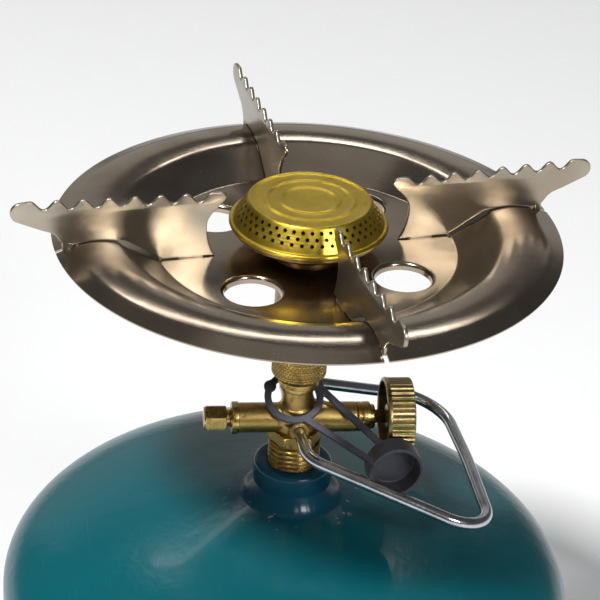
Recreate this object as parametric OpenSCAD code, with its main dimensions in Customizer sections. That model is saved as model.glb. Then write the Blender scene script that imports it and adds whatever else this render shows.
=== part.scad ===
// Single-burner gas cooker screwed on a refillable steel gas cylinder.
// Origin: middle of the cylinder's foot ring, on the ground. +Z up, +X along the valve towards its knob.

/* [Cylinder] */
// Outside radius of the cylinder
cyl_r = 120; // [110:1:130]
// Half height of the upper and the lower dome
dome_h = 43; // [38:1:46]
// Height of the straight wall between the domes
wall_h = 54; // [40:1:120]
// Gap between the lower dome and the ground
ground_gap = 15; // [12:1:25]
// Thickness of the cylinder's steel sheet
shell_t = 2; // [1.5:0.1:3]
// Outside radius of the foot ring
foot_r = 90; // [80:1:95]
// Rise of the dome towards the boss
neck_lift = 9; // [0:0.5:10]
// Radius of the threaded boss on top
boss_r = 16.3; // [15:0.1:18]
// Height of the boss above the dome
boss_rise = 18.9; // [15:0.1:20]

/* [Valve] */
// Height of the valve's cross axis above the boss
valve_rise = 20.1; // [18:0.1:25]
// Radius of the valve's two arms
arm_r = 6.2; // [5.8:0.1:6.6]
// Length of the arm with the relief valve
relief_arm = 26.7; // [24:0.1:30]
// Length of the arm with the spindle
spindle_arm = 25; // [24:0.1:28]
// Radius of the neck above the arms
neck_r = 6.4; // [5:0.1:6.6]
// Radius of the outlet thread
outlet_r = 6.9; // [6.5:0.1:7]
// Radius of the thread that goes into the boss
stem_r = 10.7; // [10:0.1:11]
// Travel of the spindle from shut to open
spindle_travel = 1.5; // [1:0.1:2]

/* [Knob] */
// Outside radius of the knob
knob_r = 16; // [14:0.1:16.2]
// Length of the knob along its axis
knob_len = 11.5; // [11:0.1:13]
// Distance from the valve's centre to the knob's open back
knob_x = 36.1; // [35.5:0.1:37]
// Number of grip grooves round the knob
knob_grooves = 40; // [24:1:48]

/* [Carrying bail] */
// Radius of the bail's wire
bail_wire_r = 2.5; // [2:0.1:2.5]
// Reach from the pivot to the outer bar
bail_reach = 79.2; // [74:0.1:80]
// Drop of the resting bail below level, in degrees
bail_drop = 18; // [10:1:19]
// Turn of the bail's pivot about the upright axis, in degrees
bail_turn = 4; // [0:1:5]
// Sideways splay of the front leg, in degrees
front_splay = 20.9; // [18:0.1:24]
// Sideways splay of the back leg, in degrees
back_splay = 11.7; // [10:0.1:15]
// Bend radius at the front corner
front_bend = 16; // [9:0.5:18]
// Bend radius at the back corner
back_bend = 18; // [9:0.5:20]

/* [Burner] */
// Height of the dish floor above the valve's cross axis
dish_rise = 79.5; // [79:0.1:84]
// Radius of the burner cap at its rolled bead
cap_r = 31.25; // [30:0.05:31.5]
// Outside radius of the mixing tube
tube_r = 11.5; // [11:0.1:11.6]
// Outside radius of the knurled coupling sleeve
sleeve_r = 11.2; // [10.8:0.1:11.6]
// Turn of the burner about the upright axis, in degrees
burner_turn = 10; // [0:5:45]

/* [Wind dish] */
// Outside radius of the dish
dish_r = 100; // [98:0.5:101]
// Radius of the crease between floor and wall
floor_r = 59.1; // [57:0.1:60]
// Height of the rim's crown above the floor
crown_h = 10.7; // [10:0.1:12]
// Thickness of the dish's sheet
dish_t = 0.8; // [0.6:0.1:1]
// Radius of the four air holes
air_r = 11; // [9:0.5:12]
// Distance from the centre to an air hole
air_ring = 42.5; // [42:0.5:43.5]

/* [Pot supports] */
// Number of pot supports
support_count = 4; // [4]
// Thickness of a pot support
support_t = 1.5; // [1.2:0.1:1.6]
// Height of the first tooth above the dish floor
tooth_z = 27.4; // [26:0.1:29]
// Spacing of the teeth
tooth_pitch = 10; // [9.5:0.1:10]
// Depth of the gullets between the teeth
tooth_depth = 3.6; // [2.5:0.1:4]

/* [Hidden] */
$fn = 96;

fit_gap = 0.05;
touch_gap = 0.02;
profile_steps = 24;
neck_reach = 55;

low_equator = ground_gap + dome_h;
girth_z = low_equator + wall_h / 2;
high_equator = low_equator + wall_h;
apex_z = high_equator + dome_h;
boss_top = apex_z + boss_rise;
valve_z = boss_top + valve_rise;
dish_z = valve_z + dish_rise;

// Valve levels, above its cross axis
collar_z = 14.8;
thread_z = 17;
outlet_z = 27.3;
collar_r = 7.4;
hex_z = -4.4;
hex_h = 5.2;
hex_r = 11.5;
passage_r = 1.2;
seat_x = 8;
relief_seat_x = -8;
relief_bore_r = 4.1;
spindle_r = 3;
packing_x = 18;
packing_r = 4.6;
rod_r = 2.8;
rod_in_knob = 7.5;
gland_len = 7.5;
pivot_z = -1.5;
pivot_r = 4.3;
pivot_len = 9.3;
pivot_depth = 6;
pin_in = pivot_len - pivot_depth + 0.3;
pin_out = 14.5;
first_bend = 9;
front_start = 28.8;
back_start = 32.5;
bar_bow = 2.4;

// Burner levels, above the dish floor
sleeve_low = -62.2;
sleeve_top = -40;
washer_z = -52.1;
washer_t = 1.8;
web_z = -50.2;
web_top = -45.2;
spigot_r = 9.8;
tube_top = 3.9;
nut_h = 4.2;
cup_rim_z = 9.9;
cap_top = 21.1;
cap_flat_r = 23.6;
bead_r = 1.1;
port_rows = 3;
ports_per_row = 15;
port_r = 0.8;

// Rim of the dish: an arc over the crown, then a skirt that flares down
crown_mid = 84.3;
crown_bend = 33.9;
crown_half = 16;
skirt_drop = 3.8;
slit_w = 2;
slot_in = 42;
slot_out = 52;

function dome_z(r, a, h) = h * sqrt(max(0, 1 - r * r / (a * a)));
function lift(r) = neck_lift * pow(max(0, 1 - r / neck_reach), 2);
function dome_points(a, h, up = 0) = [for (i = [0:profile_steps]) let (r = a * sin(90 * i / profile_steps))
    [r, h * cos(90 * i / profile_steps) + up * lift(r)]];
function arc_points(c, r, from, to, steps) =
    [for (i = [0:steps]) c + r * [cos(from + (to - from) * i / steps), sin(from + (to - from) * i / steps)]];
function side(p, i) = let (d = p[min(i + 1, len(p) - 1)] - p[max(i - 1, 0)]) [d[1], -d[0]] / norm(d);
function sheet(p, t) = concat(p, [for (i = [len(p) - 1:-1:0]) p[i] + t * side(p, i)]);
function crown_z(r) = crown_h - crown_bend + sqrt(crown_bend * crown_bend - pow(r - crown_mid, 2));

module tube(r_out, r_in, h) {
    difference() {
        cylinder(r = r_out, h = h);
        translate([0, 0, -1]) cylinder(r = r_in, h = h + 2);
    }
}

module along_x(x) {
    translate([x, 0, valve_z]) rotate([0, 90, 0]) children();
}

// ---- Gas cylinder ----

module shell_outline(up) {
    polygon(sheet(concat(dome_points(cyl_r, dome_h, up), [[cyl_r, -wall_h / 2]]), shell_t));
}

module cylinder_upper_shell() {
    color([0.06, 0.4, 0.42]) difference() {
        translate([0, 0, high_equator]) rotate_extrude() intersection() {
            shell_outline(1);
            translate([0, -wall_h / 2]) square([cyl_r + 1, wall_h + dome_h + 1]);
        }
        translate([0, 0, apex_z - 10]) cylinder(r = boss_r + touch_gap, h = 20);
    }
}

module cylinder_lower_shell() {
    color([0.06, 0.4, 0.42]) translate([0, 0, low_equator]) mirror([0, 0, 1]) rotate_extrude()
        intersection() {
            shell_outline(0);
            translate([0, -wall_h / 2 + touch_gap]) square([cyl_r + 1, wall_h + dome_h + 1]);
        }
}

module cylinder_girth_weld() {
    weld_proud = 1.1;
    weld_half = 3.2;
    color([0.06, 0.38, 0.4]) translate([0, 0, girth_z]) rotate_extrude()
        polygon([for (a = [-90:15:90]) [cyl_r + weld_proud * cos(a), weld_half * sin(a)]]);
}

module foot_ring() {
    wall = 2.5;
    top_gap = 0.4;
    in_r = foot_r - wall;
    in_top = low_equator - dome_z(in_r, cyl_r, dome_h) - top_gap;
    out_top = low_equator - dome_z(foot_r, cyl_r, dome_h) - top_gap;
    curl_r = 3;
    foot_flat = 0.4;
    color([0.06, 0.38, 0.4]) rotate_extrude() union() {
        polygon([[in_r, curl_r], [foot_r, curl_r], [foot_r, out_top], [in_r, in_top]]);
        difference() {
            translate([foot_r - 0.5, curl_r - foot_flat]) circle(r = curl_r, $fn = 32);
            translate([foot_r - 5, -5]) square([10, 5]);
        }
    }
}

module valve_boss() {
    color([0.05, 0.33, 0.4]) translate([0, 0, apex_z - 8]) tube(boss_r, stem_r + touch_gap, boss_rise + 8);
}

module boss_weld() {
    flare = 5.5;
    steps = 6;
    low = apex_z - dome_h;
    color([0.05, 0.33, 0.4]) rotate_extrude() polygon(concat(
        [for (i = [0:steps]) let (r = boss_r + touch_gap + flare * i / steps)
            [r, low + dome_z(r, cyl_r, dome_h) + lift(r) + touch_gap + flare * pow(1 - i / steps, 2)]],
        [for (i = [steps:-1:0]) let (r = boss_r + touch_gap + flare * i / steps)
            [r, low + dome_z(r, cyl_r, dome_h) + lift(r) + touch_gap - 0.001]]));
}

// ---- Cylinder valve ----

module valve_web() {
    translate([0, 2, valve_z]) rotate([90, 0, 0]) linear_extrude(4)
        polygon([[0, 0], [17, 4.5], [11.5, 7], [7.4, 8.1], [5.6, collar_z - 0.5], [0, collar_z - 0.5]]);
}

module valve_body() {
    color([0.62, 0.47, 0.2]) difference() {
        union() {
            along_x(-relief_arm) cylinder(r = arm_r, h = relief_arm + spindle_arm);
            along_x(-relief_arm) cylinder(r = arm_r + 0.5, h = 3);
            valve_web();
            translate([0, 0, valve_z + hex_z]) cylinder(r = 8.5, h = -hex_z);
            translate([0, 0, valve_z]) cylinder(r = neck_r, h = collar_z);
            translate([0, 0, valve_z + collar_z]) cylinder(r = collar_r, h = thread_z - collar_z);
            translate([0, 0, valve_z + thread_z]) cylinder(r = outlet_r, h = outlet_z - thread_z);
            translate([0, 0, valve_z + hex_z - hex_h]) cylinder(r = hex_r, h = hex_h, $fn = 6);
            translate([0, 0, boss_top - 12]) cylinder(r = stem_r, h = valve_rise + hex_z - hex_h + 12);
            translate([0, 0, valve_z + pivot_z]) rotate([90, 0, bail_turn])
                translate([0, 0, -pivot_len]) cylinder(r = pivot_r, h = 2 * pivot_len);
        }
        translate([0, 0, boss_top - 13]) cylinder(r = 2, h = valve_rise + 13 + 2.5, $fn = 32);
        along_x(relief_seat_x - 1) cylinder(r = passage_r, h = seat_x - relief_seat_x + 2, $fn = 32);
        along_x(-relief_arm - 1) cylinder(r = relief_bore_r, h = relief_arm + 1 + relief_seat_x);
        along_x(seat_x) cylinder(r = spindle_r + fit_gap, h = spindle_arm);
        along_x(packing_x) cylinder(r = packing_r, h = spindle_arm);
        translate([0, 0, valve_z + collar_z]) cylinder(r = 2, h = outlet_z, $fn = 32);
        translate([11, 0, valve_z + 1]) rotate([0, -42, 0]) cylinder(r = passage_r, h = 16, $fn = 32);
        translate([0, 0, valve_z + pivot_z]) rotate([0, 0, bail_turn]) for (s = [-1, 1])
            rotate([90 * s, 0, 0]) translate([0, 0, pivot_len - pivot_depth])
                cylinder(r = bail_wire_r + fit_gap, h = pivot_depth + 1);
    }
}

module relief_seal() {
    color([0.15, 0.15, 0.15]) along_x(relief_seat_x - 1.52) cylinder(r = 2.6, h = 1.5);
}

module relief_piston() {
    color([0.8, 0.65, 0.3]) difference() {
        along_x(relief_seat_x - 6) cylinder(r = relief_bore_r - 0.08, h = 5.9);
        along_x(relief_seat_x - 1.54) cylinder(r = 2.62, h = 2);
        along_x(relief_seat_x - 7) tube(3.6, 1.6, 3.5);
    }
}

// Closed helix of round wire with an even pitch
module relief_spring() {
    turns = 6;
    ring_sides = 8;
    steps = turns * 14;
    wire_r = 0.35;
    coil_r = 2.6;
    low_x = -21.7;
    high_x = relief_seat_x - 4;
    function outward(t) = [0, cos(360 * turns * t), sin(360 * turns * t)];
    function coil(t) = [low_x + (high_x - low_x) * t, 0, 0] + coil_r * outward(t);
    function spoke(t, a) = wire_r * (cos(a) * outward(t) + sin(a) * [1, 0, 0]);
    rings = [for (i = [0:steps], k = [0:ring_sides - 1])
        coil(i / steps) + spoke(i / steps, 360 * k / ring_sides)];
    walls = [for (i = [0:steps - 1], k = [0:ring_sides - 1]) let (n = (k + 1) % ring_sides)
        [i * ring_sides + k, i * ring_sides + n, (i + 1) * ring_sides + n, (i + 1) * ring_sides + k]];
    ends = [[for (k = [ring_sides - 1:-1:0]) k], [for (k = [0:ring_sides - 1]) steps * ring_sides + k]];
    color([0.7, 0.7, 0.7]) translate([0, 0, valve_z]) polyhedron(rings, concat(walls, ends));
}

module relief_cap_nut() {
    color([0.66, 0.5, 0.2]) difference() {
        union() {
            along_x(-relief_arm - 2.1 - 8.6) cylinder(r = 5.6, h = 8.6, $fn = 6);
            along_x(-relief_arm - 2.1 - 8.6 - 0.6) cylinder(r = 4.6, h = 1);
            along_x(-relief_arm - 3) cylinder(r = relief_bore_r - touch_gap, h = 7.6);
        }
        along_x(-relief_arm - 12) cylinder(r = 1.2, h = 20, $fn = 32);
    }
}

module valve_seat_pad() {
    color([0.9, 0.9, 0.85]) along_x(seat_x + touch_gap) cylinder(r = 2.4, h = 1.2);
}

module spindle() {
    color([0.45, 0.36, 0.2]) difference() {
        union() {
            along_x(seat_x + 1.24) cylinder(r = spindle_r, h = packing_x - seat_x - 3.2);
            along_x(seat_x + 1.24) cylinder(r = rod_r, h = knob_x + rod_in_knob - seat_x - 1.24);
        }
        along_x(knob_x + 2) cylinder(r = 1.25, h = 12, $fn = 32);
    }
}

module gland_packing() {
    color([0.92, 0.92, 0.9]) along_x(packing_x + touch_gap)
        tube(packing_r - touch_gap, rod_r + fit_gap, 3.4);
}

module gland_nut() {
    color([0.66, 0.5, 0.2]) difference() {
        union() {
            along_x(packing_x + 3.5) cylinder(r = packing_r - touch_gap, h = spindle_arm - packing_x);
            along_x(spindle_arm + touch_gap) cylinder(r = 6.2, h = gland_len - 2);
            along_x(spindle_arm + gland_len - 2.1) cylinder(r = 5.1, h = 2.1);
        }
        along_x(packing_x) cylinder(r = rod_r + fit_gap, h = 30);
    }
}

module knob() {
    wall = 1.8;
    face_t = 2.5;
    inner = knob_r - wall;
    groove_r = 0.55;
    lip = 1.8;
    color([0.66, 0.62, 0.25]) difference() {
        union() {
            along_x(knob_x) linear_extrude(knob_len) difference() {
                circle(r = knob_r);
                for (i = [0:knob_grooves - 1]) rotate(360 * i / knob_grooves)
                    translate([knob_r, 0]) circle(r = groove_r, $fn = 16);
            }
            along_x(knob_x) cylinder(r = knob_r + 0.2, h = lip);
        }
        along_x(knob_x - 1) tube(inner, 5, knob_len - face_t - 0.5);
        along_x(knob_x - 1) cylinder(r = 6, h = 2.5);
        along_x(knob_x + knob_len - 1.5) cylinder(r = inner, h = 3);
        along_x(knob_x) cylinder(r = rod_r + touch_gap, h = rod_in_knob + touch_gap);
        along_x(knob_x) cylinder(r = 1.3, h = knob_len + 1, $fn = 32);
    }
}

module knob_screw() {
    head_x = knob_x + knob_len - 1.5;
    color([0.75, 0.75, 0.72]) difference() {
        union() {
            along_x(head_x + touch_gap) cylinder(r = 3, h = 1.4);
            along_x(head_x - 7) cylinder(r = 1.2, h = 7.5, $fn = 32);
        }
        translate([head_x + 1.5, 0, valve_z]) cube([1.6, 8, 0.8], center = true);
    }
}

// Arc that rounds the corner b between the points a and c
function rounded(a, b, c, r, steps) = let (
    u = (a - b) / norm(a - b),
    v = (c - b) / norm(c - b),
    half = acos(u * v) / 2,
    middle = b + (u + v) / norm(u + v) * r / sin(half),
    from = b + u * r / tan(half) - middle,
    to = b + v * r / tan(half) - middle)
    [for (i = [0:steps]) let (d = from + (to - from) * i / steps) middle + r * d / norm(d)];

// Middle line of the bail in its own plane, from one pin round the outer bar to the other
function bail_path() = let (
    front_out = [bail_reach - bar_bow, -front_start - (bail_reach - bar_bow) * tan(front_splay)],
    back_out = [bail_reach - bar_bow / 2, back_start + bail_reach * tan(back_splay)],
    front_in = [0, -front_start],
    back_in = [0, back_start],
    bar = [bail_reach, 0])
    concat([[0, -pin_out + 1], [0, -pin_out - 0.5]],
        rounded([0, 0], front_in, front_out, first_bend, 8),
        rounded(front_in, front_out, bar, front_bend, 12),
        [bar],
        rounded(bar, back_out, back_in, back_bend, 12),
        rounded(back_out, back_in, [0, 0], first_bend, 8),
        [[0, pin_out + 0.5], [0, pin_out - 1]]);

function bail_tangent(p, i) = let (d = p[min(i + 1, len(p) - 1)] - p[max(i - 1, 0)]) d / norm(d);

module carrying_bail() {
    ring_sides = 16;
    path = bail_path();
    last = len(path) - 1;
    rings = [for (i = [0:last], k = [0:ring_sides - 1])
        let (t = bail_tangent(path, i), a = 360 * k / ring_sides,
            r = bail_wire_r - (i == 0 || i == last ? 0.4 : 0))
        [path[i][0] - r * cos(a) * t[1], path[i][1] + r * cos(a) * t[0], r * sin(a)]];
    walls = [for (i = [0:last - 1], k = [0:ring_sides - 1]) let (n = (k + 1) % ring_sides)
        [i * ring_sides + k, i * ring_sides + n, (i + 1) * ring_sides + n, (i + 1) * ring_sides + k]];
    ends = [[for (k = [ring_sides - 1:-1:0]) k], [for (k = [0:ring_sides - 1]) last * ring_sides + k]];
    color([0.72, 0.73, 0.75]) translate([0, 0, valve_z + pivot_z]) rotate([0, 0, bail_turn])
        rotate([0, bail_drop, 0]) {
            polyhedron(rings, concat(walls, ends));
            for (s = [-1, 1]) rotate([90 * s, 0, 0]) translate([0, 0, pin_in])
                cylinder(r = bail_wire_r, h = pin_out - pin_in);
        }
}

// Flat strip between two points
module strip(from, to, w) {
    d = to - from;
    translate(from) rotate(atan2(d[1], d[0])) translate([0, -w / 2]) square([norm(d), w]);
}

// Moulded rubber cap whose strap loops loosely round the valve's neck
module dust_cap() {
    strap_t = 1.8;
    strap_w = 2.9;
    loop_r = 10.7;
    cap_mouth = [38.8, -27, valve_z - 10.3];
    cap_out = 11.5;
    cap_in = 9.8;
    cap_depth = 9.7;
    strap_z = valve_z + 9.6;
    strap_tilt = 29;
    cap_swing = 6;
    color([0.33, 0.33, 0.38]) {
        difference() {
            translate([-1.3, 0, strap_z]) rotate([strap_tilt, 0, 0]) translate([0, 0, -strap_t / 2])
                linear_extrude(strap_t) {
                    difference() {
                        union() {
                            circle(r = loop_r + strap_w / 2);
                            translate([-9.5, 5.2]) circle(r = 2.6, $fn = 32);
                            translate([10, 5.8]) circle(r = 2.6, $fn = 32);
                        }
                        circle(r = loop_r - strap_w / 2);
                    }
                    strip([4.4, -10.3], [31.3, -31.2], strap_w);
                    strip([9.6, 6], [34.4, -22.6], strap_w);
                }
            translate(cap_mouth) rotate([-90, 0, 0]) rotate([0, cap_swing, 0])
                translate([0, 0, -3]) cylinder(r = cap_in + 0.3, h = cap_depth + 4);
        }
        translate(cap_mouth) rotate([0, 0, cap_swing]) rotate([-90, 0, 0]) difference() {
            cylinder(r = cap_out, h = cap_depth);
            translate([0, 0, -1]) cylinder(r = cap_in, h = cap_depth - 1);
        }
    }
}

// ---- Burner ----

module burner_place() {
    translate([0, 0, dish_z]) rotate([0, 0, burner_turn]) children();
}

module outlet_washer() {
    color([0.12, 0.12, 0.12]) translate([0, 0, dish_z + washer_z]) tube(6.6, 2.3, washer_t);
}

module coupling_sleeve() {
    bore_r = outlet_r + fit_gap;
    color([0.7, 0.56, 0.25]) burner_place() rotate_extrude() polygon([
        [bore_r, sleeve_low], [8.4, sleeve_low], [8.4, sleeve_low + 2.4], [9.4, sleeve_low + 3.2],
        [10.5, sleeve_low + 4.1], [sleeve_r, sleeve_low + 5.2],
        [sleeve_r, sleeve_top - 0.8], [sleeve_r - 0.8, sleeve_top], [spigot_r, sleeve_top],
        [spigot_r, web_top], [2.5, web_top], [2.5, web_z], [bore_r, web_z]]);
}

module injector_jet() {
    color([0.8, 0.66, 0.3]) burner_place() difference() {
        union() {
            translate([0, 0, web_z + 0.2]) cylinder(r = 2.48, h = web_top - web_z - 0.2);
            translate([0, 0, web_top + touch_gap]) cylinder(r = 3.4, h = 3, $fn = 6);
            translate([0, 0, web_top - 1]) cylinder(r = 2.3, h = 3);
            translate([0, 0, web_top + 3]) cylinder(r = 2, h = 3);
        }
        translate([0, 0, web_z]) cylinder(r = 1.2, h = 9, $fn = 32);
        translate([0, 0, web_z + 8]) cylinder(r = 0.3, h = 6, $fn = 16);
    }
}

module mixing_tube() {
    bore = tube_r - 1.3;
    intake_r = 4;
    color([0.5, 0.38, 0.22]) burner_place() difference() {
        rotate_extrude() polygon([
            [spigot_r - 1.2, web_top + 0.1], [spigot_r - touch_gap, web_top + 0.1],
            [spigot_r - touch_gap, sleeve_top + touch_gap], [tube_r, sleeve_top + touch_gap],
            [tube_r, tube_top], [bore, tube_top], [bore, sleeve_top + 3], [spigot_r - 1.2, sleeve_top]]);
        for (a = [0, 90]) translate([0, 0, -31]) rotate([90, 0, 45 + a])
            translate([0, 0, -20]) cylinder(r = intake_r, h = 40);
    }
}

module dish_locknut() {
    color([0.55, 0.5, 0.45]) burner_place() translate([0, 0, -dish_t - touch_gap - nut_h]) difference() {
        cylinder(r = 17, h = nut_h, $fn = 6);
        translate([0, 0, -1]) cylinder(r = tube_r + touch_gap, h = nut_h + 2);
    }
}

module dish_sheet() {
    crown_low = [crown_mid, crown_h - crown_bend];
    outline = concat([[tube_r + 0.1, 0], [floor_r - 0.8, 0], [floor_r + 0.5, 0.3]],
        arc_points(crown_low, crown_bend, 90 + crown_half, 90 - crown_half, 12),
        [[crown_mid + 10.8, crown_h - 1.9], [dish_r, crown_h - skirt_drop]]);
    rotate_extrude() polygon(sheet(outline, dish_t));
}

module air_hole_lip() {
    lip_r = 1.7;
    rotate_extrude() polygon(sheet(concat(
        arc_points([air_r + lip_r, -lip_r], lip_r, 90, 180, 6), [[air_r, -3.2]]), -dish_t));
}

module wind_dish() {
    color([0.6, 0.56, 0.5]) burner_place() difference() {
        union() {
            difference() {
                dish_sheet();
                for (a = [45:90:315]) rotate([0, 0, a]) translate([air_ring, 0, -2])
                    cylinder(r = air_r + 1.7, h = 4);
            }
            for (a = [45:90:315]) rotate([0, 0, a]) translate([air_ring, 0, 0]) air_hole_lip();
        }
        for (a = [0:360 / support_count:359]) rotate([0, 0, a]) {
            translate([slot_in, -slit_w / 2, -3]) cube([slot_out - slot_in, slit_w, 6]);
            translate([crown_mid + 9.5, -slit_w / 2, 0]) cube([10, slit_w, 15]);
        }
    }
}

module burner_cup() {
    rim = cap_r - 1.5;
    color([0.35, 0.28, 0.2]) burner_place() rotate_extrude() polygon([
        [tube_r + touch_gap, touch_gap], [15, touch_gap], [15, 2.2], [rim, cup_rim_z - 1.6],
        [rim, cup_rim_z], [rim - 1.2, cup_rim_z], [rim - 1.2, cup_rim_z - 0.8],
        [13.6, 3.6], [tube_r + touch_gap, 3.6]]);
}

module burner_cap() {
    skirt_low = 12.2;
    ridge = 0.4;
    flat_z = cap_top - ridge;
    slope = [cap_r - bead_r - cap_flat_r - 1, skirt_low - cap_top + 0.7];
    color([0.78, 0.66, 0.2]) burner_place() difference() {
        union() {
            rotate_extrude() polygon(sheet([[0, flat_z], [10.4, flat_z], [11.1, cap_top], [11.8, flat_z],
                [16.4, flat_z], [17.1, cap_top], [17.8, flat_z], [22.4, flat_z], [cap_flat_r - 0.4, cap_top],
                [cap_flat_r + 0.8, cap_top - 0.5], [cap_r - bead_r - 0.2, skirt_low - 0.5]], dish_t));
            rotate_extrude() translate([cap_r - bead_r, skirt_low - 1.1]) circle(r = bead_r, $fn = 32);
        }
        for (row = [0:port_rows - 1], i = [0:ports_per_row - 1])
            rotate([0, 0, 360 * (i + row / 2) / ports_per_row])
                translate([cap_flat_r + 1.2 + 0.3 * slope[0] * (row + 0.4), 0, cap_top - 1.9 - 2.3 * row])
                    rotate([0, 60, 0]) translate([0, 0, -2]) cylinder(r = port_r, h = 5, $fn = 16);
    }
}

// ---- Pot supports ----

function tooth_line(i, s) = [tooth_start + tooth_pitch * (i + s),
    tooth_z + 0.31 * (i + s - 1) - tooth_depth * (1 - cos(360 * s)) / 2];
tooth_start = 39.3;
teeth = 7;
tooth_steps = 10;
support_gap = 0.35;

// Flat plate, standing on edge, in the plane through the cooker's axis
module pot_support() {
    tip = [113, 24.9];
    inner = [[37.5, support_gap], [39, 2.5], [40.4, 7], [41.1, 12], [40.7, 15.5], [38.9, 18.6], [36, 21.5],
        [33.9, 23.8], [33.7, 25.2], [34.6, 26.5], [36.2, 27.1], [tooth_start, 27.1]];
    tops = [for (i = [0:teeth - 1], k = [1:tooth_steps]) tooth_line(i, k / tooth_steps)];
    outer = concat(arc_points(tip, 4.1, 90, -60, 8), [[105.1, 16.9], [101.6, 15.6], [99.6, 13.9],
        [98.2, 11.8], [97.5, 11], [97.5, 7.6], [94.9, 7.6], [94.9, 10.6]]);
    bottom = [for (r = [93:-3:76]) [r, crown_z(r) + support_gap]];
    tab = [[73, 9.9], [floor_r + 0.4, 1.3], [floor_r - 1, support_gap], [slot_out - 0.4, support_gap],
        [slot_out - 0.4, -4], [slot_in + 0.4, -4], [slot_in + 0.4, support_gap]];
    translate([0, support_t / 2, 0]) rotate([90, 0, 0]) linear_extrude(support_t)
        polygon(concat(inner, tops, outer, bottom, tab));
}

module placed_support(turn) {
    color([0.62, 0.58, 0.52]) burner_place() rotate([0, 0, turn]) pot_support();
}

module pot_support_right() {
    placed_support(0);
}

module pot_support_back() {
    placed_support(90);
}

module pot_support_left() {
    placed_support(180);
}

module pot_support_front() {
    placed_support(270);
}

cylinder_upper_shell();
cylinder_lower_shell();
cylinder_girth_weld();
foot_ring();
valve_boss();
boss_weld();
valve_body();
relief_piston();
relief_seal();
relief_spring();
relief_cap_nut();
valve_seat_pad();
spindle();
gland_packing();
gland_nut();
knob();
knob_screw();
carrying_bail();
dust_cap();
outlet_washer();
coupling_sleeve();
injector_jet();
mixing_tube();
dish_locknut();
wind_dish();
burner_cup();
burner_cap();
pot_support_right();
pot_support_back();
pot_support_left();
pot_support_front();
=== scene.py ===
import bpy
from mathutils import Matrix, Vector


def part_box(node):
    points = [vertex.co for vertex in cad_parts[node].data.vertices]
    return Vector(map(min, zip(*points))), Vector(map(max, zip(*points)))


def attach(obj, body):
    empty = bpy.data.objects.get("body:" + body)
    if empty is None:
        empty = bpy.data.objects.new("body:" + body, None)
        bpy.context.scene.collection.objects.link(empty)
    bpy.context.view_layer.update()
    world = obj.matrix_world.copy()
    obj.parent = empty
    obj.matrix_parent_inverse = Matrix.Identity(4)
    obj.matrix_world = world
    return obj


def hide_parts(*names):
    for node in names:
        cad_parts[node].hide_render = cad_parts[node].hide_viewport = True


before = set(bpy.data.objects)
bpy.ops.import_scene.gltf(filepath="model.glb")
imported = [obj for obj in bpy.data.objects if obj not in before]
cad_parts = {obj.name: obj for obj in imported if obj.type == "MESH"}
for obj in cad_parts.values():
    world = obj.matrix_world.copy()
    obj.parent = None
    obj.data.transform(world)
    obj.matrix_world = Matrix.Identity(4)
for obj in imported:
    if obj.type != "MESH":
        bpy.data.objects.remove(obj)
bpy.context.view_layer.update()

import math

import bmesh
import bpy
from mathutils import Matrix, Vector, geometry

scene = bpy.context.scene
mm = 0.001
quarter = math.pi / 2


def middle(node, axis):
    low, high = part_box(node)
    return (low[axis] + high[axis]) / 2 / mm


# Levels in millimetres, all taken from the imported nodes
valveZ = middle("knob", 2)
girthZ = middle("cylinder_girth_weld", 2)
tubeTop = 3.9
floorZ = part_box("mixing_tube")[1].z / mm - tubeTop
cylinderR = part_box("cylinder_upper_shell")[1].x / mm
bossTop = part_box("valve_boss")[1].z / mm
dishR = (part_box("wind_dish")[1].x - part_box("wind_dish")[0].x) / 2 / mm


def shift(x, y, z):
    return Matrix.Translation((x, y, z))


def turn(degrees, axis):
    return Matrix.Rotation(math.radians(degrees), 4, axis)


burnerTurn = 10
atValve = shift(0, 0, valveZ)
alongX = atValve @ turn(90, "Y")
atBurner = shift(0, 0, floorZ) @ turn(burnerTurn, "Z")


# Outlines, lathes and plates are all worked in millimetres

def arc(centre, radius, start, end, steps):
    points = []
    for i in range(steps + 1):
        angle = math.radians(start + (end - start) * i / steps)
        points.append((centre[0] + radius * math.cos(angle), centre[1] + radius * math.sin(angle)))
    return points


def roundCorners(points, radii, steps=6, closed=True):
    rounded = []
    count = len(points)
    for i, point in enumerate(points):
        radius = radii[i] if isinstance(radii, (list, tuple)) else radii
        if radius == 0 or (not closed and i in (0, count - 1)):
            rounded.append(tuple(point))
            continue
        here = Vector(point)
        before = Vector(points[i - 1]) - here
        after = Vector(points[(i + 1) % count]) - here
        half = before.angle(after) / 2
        run = min(radius / math.tan(half), 0.49 * before.length, 0.49 * after.length)
        before.normalize()
        after.normalize()
        if half > 0.49 * math.pi:
            rounded.append(tuple(point))
            continue
        reach = run * math.tan(half)
        centre = here + (before + after).normalized() * (reach / math.sin(half))
        first = here + before * run - centre
        last = here + after * run - centre
        for k in range(steps + 1):
            spoke = first.lerp(last, k / steps).normalized() * reach
            rounded.append(tuple(centre + spoke))
    return rounded


def smoothCurve(points, steps=5):
    curve = []
    count = len(points)
    for i in range(count - 1):
        a, b, c, d = (Vector(points[min(max(i + k, 0), count - 1)]) for k in (-1, 0, 1, 2))
        for k in range(steps):
            t = k / steps
            here = 2 * b + (c - a) * t + (2 * a - 5 * b + 4 * c - d) * t ** 2
            here += (3 * b - a - 3 * c + d) * t ** 3
            curve.append(tuple(here / 2))
    curve.append(tuple(points[-1]))
    return curve


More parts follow.
